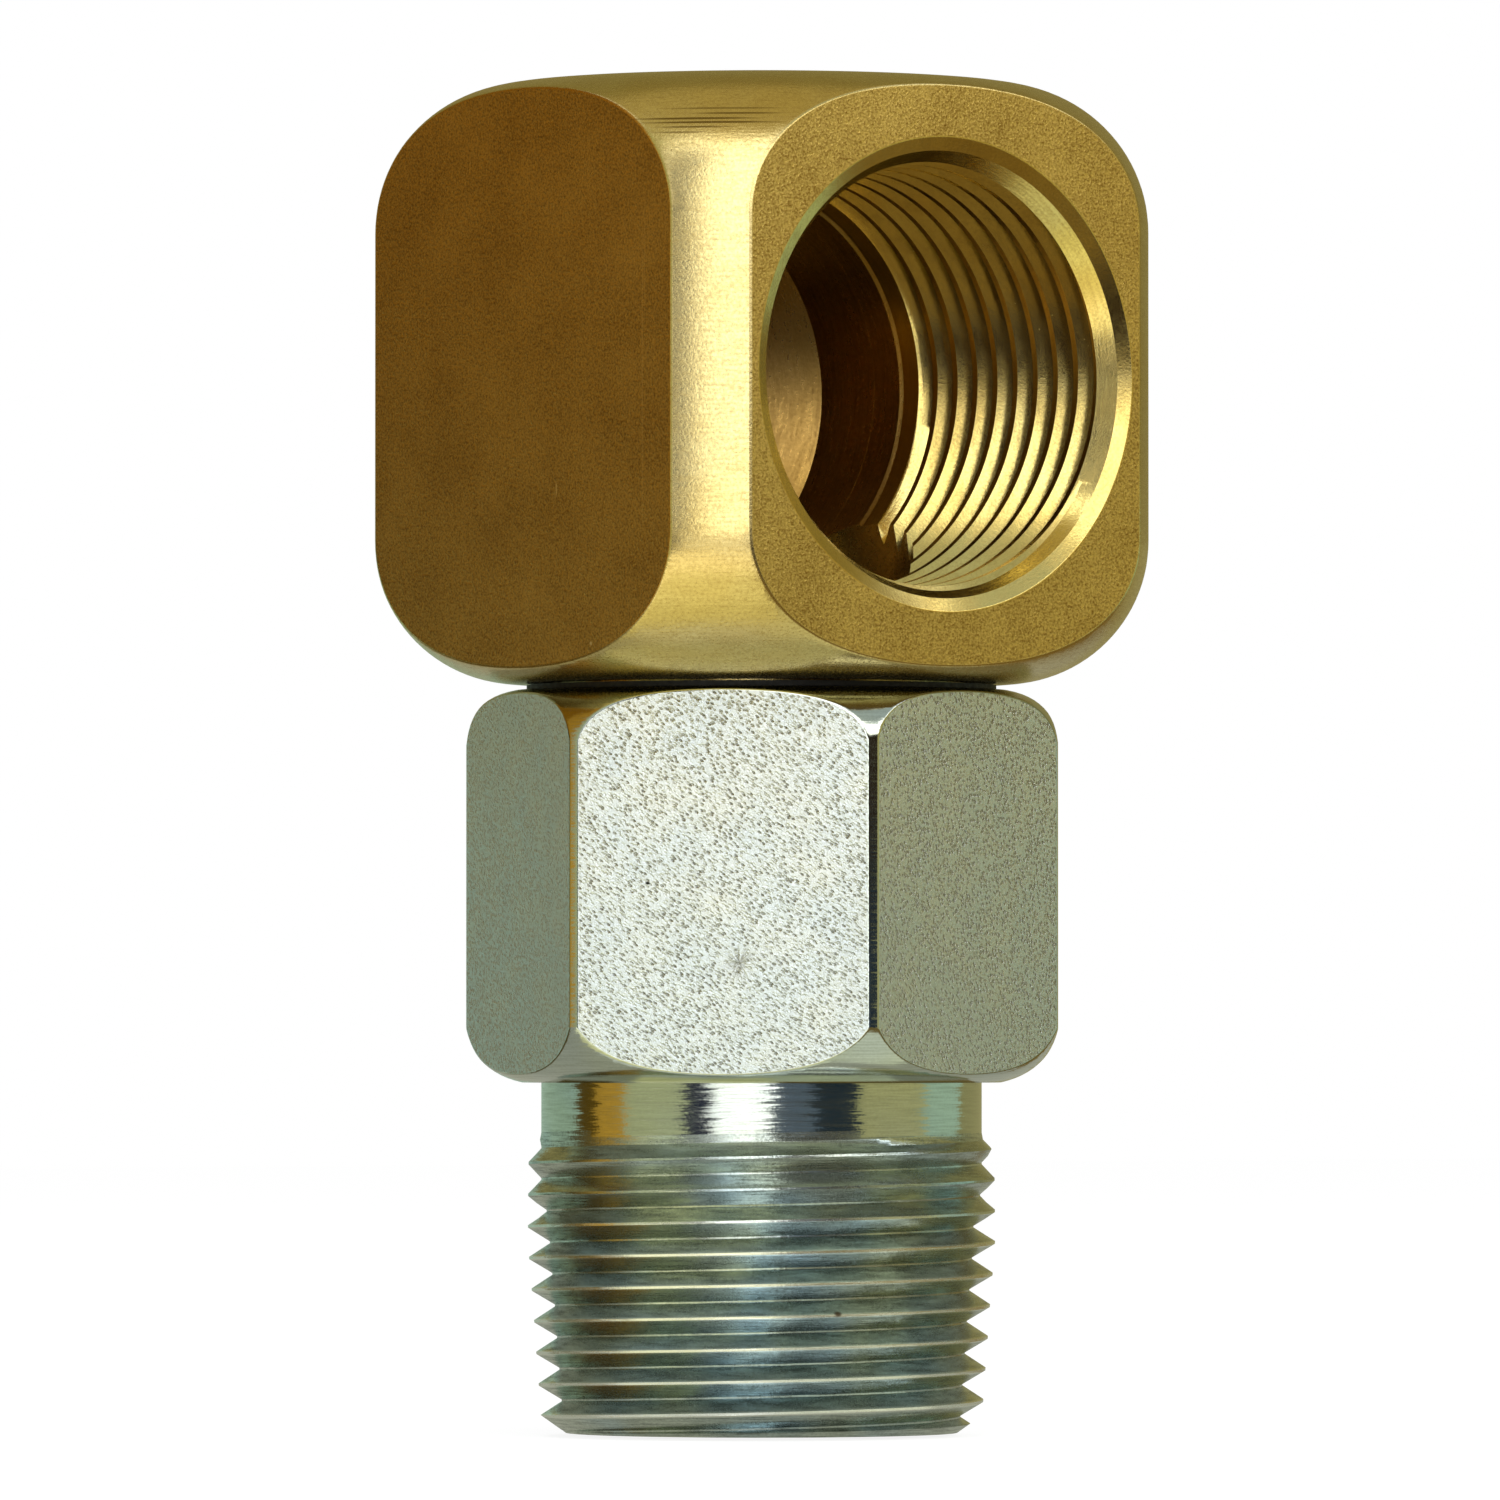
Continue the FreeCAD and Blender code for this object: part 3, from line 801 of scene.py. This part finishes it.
def makeTurned(name, marks):
    # turned on a lathe: fine lines that run round the piece, brighter and duller in turn
    material, tree, surface = startMaterial(name)
    look = latheFinishes[name]
    inMm, place, radius, along = lathePlace(tree, look)
    cuts = addNode(tree, "ShaderNodeTexNoise", (-600, 0), {"Scale": 1.0, "Detail": 3.0, "Roughness": 0.6},
                   i0=place.outputs[0])
    grain = addNode(tree, "ShaderNodeTexNoise", (-600, -250),
                    {"Scale": 1 / look["grain"], "Detail": 2.0, "Roughness": 0.6}, i0=inMm.outputs[0])
    lines = addNode(tree, "ShaderNodeMix", (-400, 0), {"data_type": "FLOAT", 0: look["grainShare"]},
                    i2=cuts.outputs[0], i3=grain.outputs[0])
    share = addNode(tree, "ShaderNodeMapRange", (-200, 0), {1: 0.4, 2: 0.7, 3: 0.0, 4: look["lineShare"]},
                    i0=lines.outputs[0])
    cloud = addNode(tree, "ShaderNodeTexNoise", (-400, 300), {"Scale": 0.16, "Detail": 2.0}, i0=inMm.outputs[0])
    patch = addNode(tree, "ShaderNodeMapRange", (-200, 300), {1: 0.42, 2: 0.64, 3: 0.0, 4: 1.0},
                    i0=cloud.outputs[0])
    tint = addNode(tree, "ShaderNodeMix", (0, 300),
                   {"data_type": "RGBA", 6: linearColour(look["first"]), 7: linearColour(look["second"])},
                   i0=patch.outputs[0])
    colour = addNode(tree, "ShaderNodeMix", (200, 200), {"data_type": "RGBA", 7: linearColour(look["deep"])},
                     i0=share.outputs[0], i6=tint.outputs[2])
    if "crestHighlight" in look:
        # the crests are painted near white: a painted highlight along them
        base, rise = look["crestHighlightRadius"]
        crest = addNode(tree, "ShaderNodeMath", (-200, 600), {"operation": "MULTIPLY_ADD", 1: -rise},
                        i0=along.outputs[0], i2=radius.outputs["Value"])
        bright = addNode(tree, "ShaderNodeMapRange", (0, 600), {1: base - 0.16, 2: base - 0.02, 3: 0.0, 4: 0.9},
                         i0=crest.outputs[0])
        colour = addNode(tree, "ShaderNodeMix", (400, 400),
                         {"data_type": "RGBA", 7: linearColour(look["crestHighlight"])},
                         i0=bright.outputs[0], i6=colour.outputs[2])
    colour = addMarks(tree, inMm, colour, marks)
    bump = finishSurface(tree, surface, colour, lines, look["roughness"], lines, 0.5, look["depth"])
    if look["wander"]:
        # each line leans a little its own way round the piece, which frays the edges of what it mirrors
        face = addNode(tree, "ShaderNodeNewGeometry", (-900, -700))
        sideways = addNode(tree, "ShaderNodeVectorMath", (-700, -700),
                           {"operation": "CROSS_PRODUCT", 0: (0, 0, 1)}, i1=face.outputs["Normal"])
        lean = addNode(tree, "ShaderNodeMath", (-500, -900), {"operation": "SUBTRACT", 1: 0.5},
                       i0=lines.outputs[0])
        size = addNode(tree, "ShaderNodeMath", (-300, -900), {"operation": "MULTIPLY", 1: 2 * look["wander"]},
                       i0=lean.outputs[0])
        offset = addNode(tree, "ShaderNodeVectorMath", (-300, -700), {"operation": "SCALE"},
                         i0=sideways.outputs[0], i3=size.outputs[0])
        leaning = addNode(tree, "ShaderNodeVectorMath", (-100, -700), {"operation": "ADD"},
                          i0=face.outputs["Normal"], i1=offset.outputs[0])
        unit = addNode(tree, "ShaderNodeVectorMath", (100, -700), {"operation": "NORMALIZE"},
                       i0=leaning.outputs[0])
        tree.links.new(unit.outputs[0], bump.inputs["Normal"])
    return material


def makePlatedFlat():
    # cold-drawn hexagon bar under its plating: dull, with short slanting pits and a grain between them; the pits
    # are also painted darker, as painted shade in them
    material, tree, surface = startMaterial("platedHexagonFlat")
    inMm, place = flatPlace(tree)
    slanted = addNode(tree, "ShaderNodeMapping", (-1200, 200),
                      {"Rotation": (0, 0, math.radians(-zincLook["dashTurn"]))}, i0=place.outputs[0])
    stretched = addNode(tree, "ShaderNodeVectorMath", (-1000, 200),
                        {"operation": "DIVIDE", 1: (zincLook["dashLength"], zincLook["dashWidth"], 1)},
                        i0=slanted.outputs[0])
    dashes = addNode(tree, "ShaderNodeTexVoronoi", (-800, 200), {"Scale": 1.0}, i0=stretched.outputs[0])
    chance = addNode(tree, "ShaderNodeSeparateXYZ", (-600, 350), None, i0=dashes.outputs["Color"])
    dash = addNode(tree, "ShaderNodeMapRange", (-600, 200), {1: 0.5, 2: 0.14, 3: 0.0, 4: 1.0},
                   i0=dashes.outputs["Distance"])
    depth = addNode(tree, "ShaderNodeMapRange", (-400, 350), {1: 0.0, 2: 1.0, 3: 0.4, 4: 1.0},
                    i0=chance.outputs[0])
    pits = addNode(tree, "ShaderNodeMath", (-400, 200), {"operation": "MULTIPLY"},
                   i0=dash.outputs[0], i1=depth.outputs[0])
    grain = addNode(tree, "ShaderNodeTexNoise", (-800, -100), {"Scale": 5.5, "Detail": 3.0, "Roughness": 0.7},
                    i0=place.outputs[0])
    cloud = addNode(tree, "ShaderNodeTexNoise", (-800, -400), {"Scale": 0.35, "Detail": 3.0}, i0=place.outputs[0])
    # the passivation is bluer at the lower end and more straw-coloured at the upper one
    start, rise = zincLook["tintPlace"]
    parts = addNode(tree, "ShaderNodeSeparateXYZ", (-1000, -500), None, i0=inMm.outputs[0])
    climb = addNode(tree, "ShaderNodeMath", (-800, -600), {"operation": "MULTIPLY_ADD", 1: rise, 2: start},
                    i0=parts.outputs[2])
    cloudy = addNode(tree, "ShaderNodeMath", (-700, -500), {"operation": "ADD"},
                     i0=cloud.outputs[0], i1=climb.outputs[0])
    passivated = addNode(tree, "ShaderNodeMapRange", (-600, -400), {1: 0.3, 2: 0.7, 3: 0.0, 4: 1.0},
                         i0=cloudy.outputs[0])
    tint = addNode(tree, "ShaderNodeMix", (-400, -300),
                   {"data_type": "RGBA", 6: linearColour(zincLook["blue"]), 7: linearColour(zincLook["straw"])},
                   i0=passivated.outputs[0])
    plate = addNode(tree, "ShaderNodeMix", (-200, -200),
                    {"data_type": "RGBA", 0: zincLook["metalShare"], 7: linearColour(zincLook["metal"])},
                    i6=tint.outputs[2])
    # the peened end of the plug shows through the plating as a faint star
    away = addNode(tree, "ShaderNodeVectorMath", (-1200, 600),
                   {"operation": "SUBTRACT", 1: zincLook["starPlace"]}, i0=place.outputs[0])
    ray = addNode(tree, "ShaderNodeVectorMath", (-1000, 700), {"operation": "NORMALIZE"}, i0=away.outputs[0])
    rays = addNode(tree, "ShaderNodeTexNoise", (-800, 700), {"Scale": 3.0, "Detail": 2.0}, i0=ray.outputs[0])
    struck = addNode(tree, "ShaderNodeMapRange", (-600, 700), {1: 0.44, 2: 0.56, 3: 0.0, 4: 1.0},
                     i0=rays.outputs[0])
    far = addNode(tree, "ShaderNodeVectorMath", (-1000, 500), {"operation": "LENGTH"}, i0=away.outputs[0])
    near = addNode(tree, "ShaderNodeMapRange", (-600, 500),
                   {1: zincLook["starReach"], 2: 0.2, 3: 0.0, 4: zincLook["starShare"]},
                   i0=far.outputs["Value"])
    star = addNode(tree, "ShaderNodeMath", (-400, 600), {"operation": "MULTIPLY"},
                   i0=struck.outputs[0], i1=near.outputs[0])
    marked = addNode(tree, "ShaderNodeMath", (-200, 300), {"operation": "MAXIMUM"},
                     i0=pits.outputs[0], i1=star.outputs[0])
    # the pits take the darker grey as painted shade; the star takes it as its own mark
    colour = addNode(tree, "ShaderNodeMix", (0, 0), {"data_type": "RGBA", 7: linearColour(zincLook["pitShadeAndStar"])},
                     i0=marked.outputs[0], i6=plate.outputs[2])
    colour = addMarks(tree, inMm, colour, zincMarks)
    height = addNode(tree, "ShaderNodeMath", (-200, -600), {"operation": "MULTIPLY_ADD", 1: -1.4},
                     i0=marked.outputs[0], i2=grain.outputs[0])
    finishSurface(tree, surface, colour, grain, zincLook["flatRoughness"], height, 1.0, zincLook["flatDepth"])
    return material


def makeMoulded(name, colour, other, grain, metallic, roughness):
    # inner pieces: an even face whose gloss and shade vary a little over its grain, which is in millimetres
    material, tree, surface = startMaterial(name)
    place = addNode(tree, "ShaderNodeTexCoord", (-600, 0))
    noise = addNode(tree, "ShaderNodeTexNoise", (-400, 0), {"Scale": 1 / (grain * mm), "Detail": 3.0},
                    i0=place.outputs["Object"])
    mixed = addNode(tree, "ShaderNodeMix", (-100, 100),
                    {"data_type": "RGBA", 6: linearColour(colour), 7: linearColour(other)}, i0=noise.outputs[0])
    finishSurface(tree, surface, mixed, noise, (roughness * 0.8, roughness * 1.2), noise, 0.3, 0.01, metallic)
    return material


def setCamera():
    azimuth = math.radians(camera["azimuth"])
    back = Vector((math.sin(azimuth), -math.cos(azimuth), 0))
    right = Vector((math.cos(azimuth), math.sin(azimuth), 0))
    target = right * camera["aimRight"] * mm + Vector((0, 0, camera["aimHeight"] * mm))
    place = right * camera["aimRight"] * mm + back * camera["distance"] * mm
    place.z = camera["height"] * mm
    data = bpy.data.cameras.new("photoCamera")
    data.lens = camera["lens"]
    data.sensor_width = camera["sensor"]
    data.clip_start = 0.05
    data.clip_end = 20
    view = bpy.data.objects.new("photoCamera", data)
    bpy.context.scene.collection.objects.link(view)
    view.location = place
    view.rotation_euler = (target - place).to_track_quat("-Z", "Y").to_euler()
    bpy.context.scene.camera = view


def addSoftbox(name, box):
    # azimuth counts from the camera to its right, all angles in degrees, sizes in metres
    turn = math.radians(camera["azimuth"] + box["azimuth"])
    rise = math.radians(box["elevation"])
    out = Vector((math.sin(turn) * math.cos(rise), -math.cos(turn) * math.cos(rise), math.sin(rise)))
    data = bpy.data.lights.new(name, "AREA")
    data.shape = "RECTANGLE"
    data.size = box["width"]
    data.size_y = box["height"]
    data.energy = box["level"] * math.pi * box["width"] * box["height"]
    data.color = linearColour(box["colour"])[:3]
    lamp = bpy.data.objects.new(name, data)
    bpy.context.scene.collection.objects.link(lamp)
    lamp.location = Vector((0, 0, studio["middle"])) + out * box["distance"]
    lamp.rotation_euler = (-out).to_track_quat("-Z", "Y").to_euler()


def makeGlow(name, colour, level):
    material, tree, output = emptyMaterial(name)
    glow = addNode(tree, "ShaderNodeEmission", (0, 0), {"Color": linearColour(colour), "Strength": level})
    tree.links.new(glow.outputs[0], output.inputs[0])
    return material


def addCard(name, card):
    # a card that only the metal sees, swept round the part; a spin by a positive angle runs clockwise
    board = drawProfile(name, [(radius / mm, height / mm) for radius, height in card["edge"]])
    bpy.ops.mesh.select_all(action="SELECT")
    arc = math.radians(card["to"] - card["from"])
    bpy.ops.mesh.spin(steps=studio["cardSteps"], angle=arc, center=(0, 0, 0), axis=(0, 0, 1))
    bpy.ops.object.mode_set(mode="OBJECT")
    board.rotation_euler.z = math.radians(camera["azimuth"] - 90 + card["to"])
    board.data.materials.append(makeGlow(name, card["colour"], card.get("level", 1.0)))
    board.visible_camera = False
    board.visible_diffuse = False
    board.visible_shadow = False


def whiteRays(tree):
    # 1 for the rays that find the background white: the camera's, the mirrored and those that pass through
    paths = addNode(tree, "ShaderNodeLightPath", (-600, 300))
    seen = addNode(tree, "ShaderNodeMath", (-400, 300), {"operation": "MAXIMUM"},
                   i0=paths.outputs["Is Camera Ray"], i1=paths.outputs["Is Glossy Ray"])
    shown = addNode(tree, "ShaderNodeMath", (-200, 300), {"operation": "MAXIMUM"},
                    i0=seen.outputs[0], i1=paths.outputs["Is Transmission Ray"])
    return paths, shown


def makeFloor():
    # pale floor: it keeps the shadow of the part, its glow makes it white to the camera and in the metal, and
    # from below it lets the camera through
    material, tree, output = emptyMaterial("paleFloor")
    paths, shown = whiteRays(tree)
    matt = addNode(tree, "ShaderNodeBsdfDiffuse", (0, 0), {"Color": linearColour(studio["floorColour"])})
    glow = addNode(tree, "ShaderNodeEmission", (0, -200),
                   {"Color": linearColour("ffffff"), "Strength": studio["floorGlow"]})
    both = addNode(tree, "ShaderNodeAddShader", (250, -100), None, i0=matt.outputs[0], i1=glow.outputs[0])
    mixed = addNode(tree, "ShaderNodeMixShader", (600, 0), None,
                    i0=shown.outputs[0], i1=matt.outputs[0], i2=both.outputs[0])
    face = addNode(tree, "ShaderNodeNewGeometry", (-400, 600))
    below = addNode(tree, "ShaderNodeMath", (-200, 500), {"operation": "MULTIPLY"},
                    i0=face.outputs["Backfacing"], i1=paths.outputs["Is Camera Ray"])
    clear = addNode(tree, "ShaderNodeBsdfTransparent", (600, -200))
    shell = addNode(tree, "ShaderNodeMixShader", (750, 0), None,
                    i0=below.outputs[0], i1=mixed.outputs[0], i2=clear.outputs[0])
    tree.links.new(shell.outputs[0], output.inputs[0])
    return material


def setStage():
    world = bpy.data.worlds.new("studio")
    bpy.context.scene.world = world
    world.use_nodes = True
    tree = world.node_tree
    tree.nodes.clear()
    output = addNode(tree, "ShaderNodeOutputWorld", (600, 0))
    shown = whiteRays(tree)[1]
    white = addNode(tree, "ShaderNodeBackground", (0, 100), {"Color": (1, 1, 1, 1), "Strength": 1.0})
    room = addNode(tree, "ShaderNodeBackground", (0, -100), {"Color": (1, 1, 1, 1), "Strength": studio["room"]})
    mix = addNode(tree, "ShaderNodeMixShader", (300, 0), None,
                  i0=shown.outputs[0], i1=room.outputs[0], i2=white.outputs[0])
    tree.links.new(mix.outputs[0], output.inputs[0])
    bpy.context.scene.view_settings.view_transform = "Standard"
    deselectAll()
    bpy.ops.mesh.primitive_plane_add(size=studio["floorSize"], location=(0, 0, -0.0002))
    floor = bpy.context.object
    floor.name = "studioFloor"
    floor.data.materials.append(makeFloor())
    for name, box in studio["boxes"].items():
        addSoftbox(name, box)
    for name, card in studio["cards"].items():
        addCard(name, card)


def dressPieces():
    brass = [makeMilledBrass(), makeTurned("turnedBrass", brassMarks), makeTurned("boredBrass", []),
             makeTurned("shadedDrilledBrass", [])]
    zinc = [makePlatedFlat(), makeTurned("platedTurned", []), makeTurned("platedThread", zincMarks)]
    half = head["acrossFlats"] / 2
    # what lies this near to the port's axis, and no further in than this, is a face of the port
    portReach = 13.6
    portEnd = -13.5
    for piece, finishes in ((brassHead, brass), (steelStem, zinc), (holePlug, zinc)):
        piece.data.materials.clear()
        for finish in finishes:
            piece.data.materials.append(finish)
    for face in brassHead.data.polygons:
        at = face.center / mm
        onFlat = max(abs(at.x), abs(at.y)) > half - flatGap and max(abs(face.normal.x), abs(face.normal.y)) > 0.99
        inPort = at.x > portEnd and math.hypot(at.y, at.z - portHeight) < portReach
        # the drilled end takes the darker brass, painted shade deep in the port
        drilled = at.x < half - port["depth"] + 0.2
        face.material_index = 0 if onFlat else 3 if inPort and drilled else 2 if inPort else 1
    for face in steelStem.data.polygons:
        at = face.center / mm
        onFlat = abs(face.normal.z) < 0.01 and abs(face.normal.dot(at) - hexagon["acrossFlats"] / 2) < flatGap
        onThread = at.z < nipple["crestFall"][1] and math.hypot(at.x, at.y) > spigot["passageRadius"] + 0.1
        face.material_index = 0 if onFlat else 2 if onThread else 1


brassHead = makeHead()
steelStem = makeStem()
holePlug = makePlug()
dressPieces()
steel = makeMoulded("groundBearingSteel", "c8c8c6", "b4b6b6", 0.3, 1.0, 0.12)
nitrile = makeMoulded("greasedNitrile", "161616", "0e0e0e", 0.4, 0.0, 0.4)
wiper = makeMoulded("mouldedWiperRubber", "1c1c1b", "131312", 0.25, 0.0, 0.6)
ptfe = makeMoulded("skivedPtfe", "e6e6df", "dcdcd4", 0.5, 0.0, 0.5)
acetal = makeMoulded("turnedAcetal", "dad8cb", "cfccbc", 0.4, 0.0, 0.42)

for piece, body, slot, node in (
    (brassHead, "head", "machined_brass", "swivel_body"),
    (steelStem, "stem", "zinc_plated_steel", "threaded_stem"),
    (holePlug, "stem", "zinc_plated_steel", "ball_plug"),
):
    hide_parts(node)
    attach(piece, body)

innerFinish = {"thrust_washer": acetal, "dust_ring": wiper, "o_ring_lower": nitrile, "o_ring_upper": nitrile,
               "backup_ring_lower": ptfe, "backup_ring_upper": ptfe}
for name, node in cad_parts.items():
    finish = innerFinish.get(name, steel if name.startswith("ball_") else None)
    if finish and name != "ball_plug":
        node.data.materials.clear()
        node.data.materials.append(finish)
print("materials set")

setCamera()
setStage()
